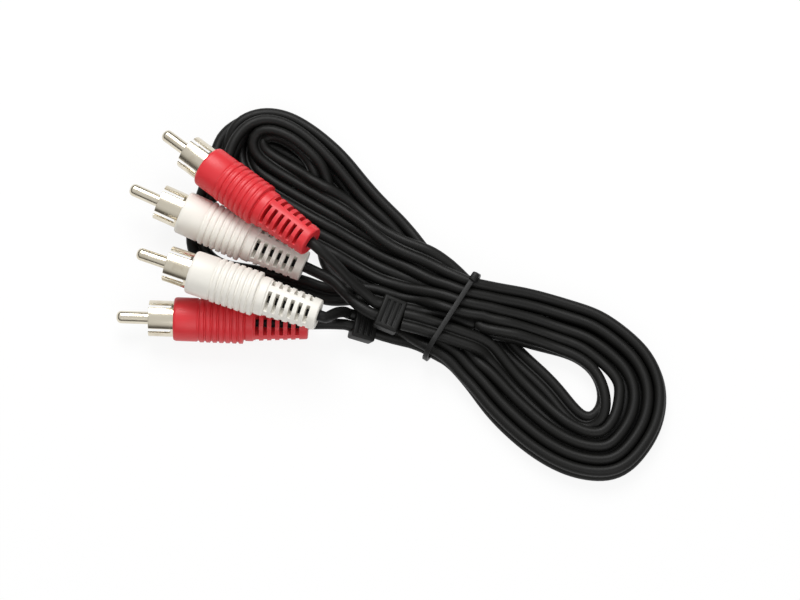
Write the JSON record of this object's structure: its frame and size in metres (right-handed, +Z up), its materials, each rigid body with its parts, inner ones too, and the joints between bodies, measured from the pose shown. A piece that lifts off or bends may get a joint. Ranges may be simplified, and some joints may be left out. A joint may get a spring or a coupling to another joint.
{
  "type": "stereo phono lead",
  "caption": "Stereo audio lead with red and white moulded phono plugs, black twin cord folded in a hank and tied",
  "frame": {"origin": "the middle of the base of the lead's bounding box, on the surface it lies on", "axes": "+Z is up as it lies; the hank's long axis is X, with the four plugs towards -X"},
  "size_m": [0.1477, 0.0712, 0.0228],
  "materials": {
    "red_grip": "satin moulded PVC",
    "white_grip": "satin moulded PVC",
    "nickel": "bright nickel plate",
    "insulator": "natural polythene",
    "inner_mould": "dull",
    "cord_jacket": "soft matt PVC",
    "tie": "satin"
  },
  "bodies": {
    "root": {"red_plug_a_grip": "red_grip", "red_plug_a_ring": "nickel", "red_plug_a_pin": "nickel", "red_plug_a_insulator": "insulator", "red_plug_a_inner_mould": "inner_mould", "white_plug_a_grip": "white_grip", "white_plug_a_ring": "nickel", "white_plug_a_pin": "nickel", "white_plug_a_insulator": "insulator", "white_plug_a_inner_mould": "inner_mould", "white_plug_b_grip": "white_grip", "white_plug_b_ring": "nickel", "white_plug_b_pin": "nickel", "white_plug_b_insulator": "insulator", "white_plug_b_inner_mould": "inner_mould", "red_plug_b_grip": "red_grip", "red_plug_b_ring": "nickel", "red_plug_b_pin": "nickel", "red_plug_b_insulator": "insulator", "red_plug_b_inner_mould": "inner_mould", "splitter_a": "cord_jacket", "splitter_b": "cord_jacket", "red_lead_a": "cord_jacket", "white_lead_a": "cord_jacket", "white_lead_b": "cord_jacket", "red_lead_b": "cord_jacket", "twin_cord_hank": "cord_jacket", "tie": "tie"}
  },
  "joints": []
}
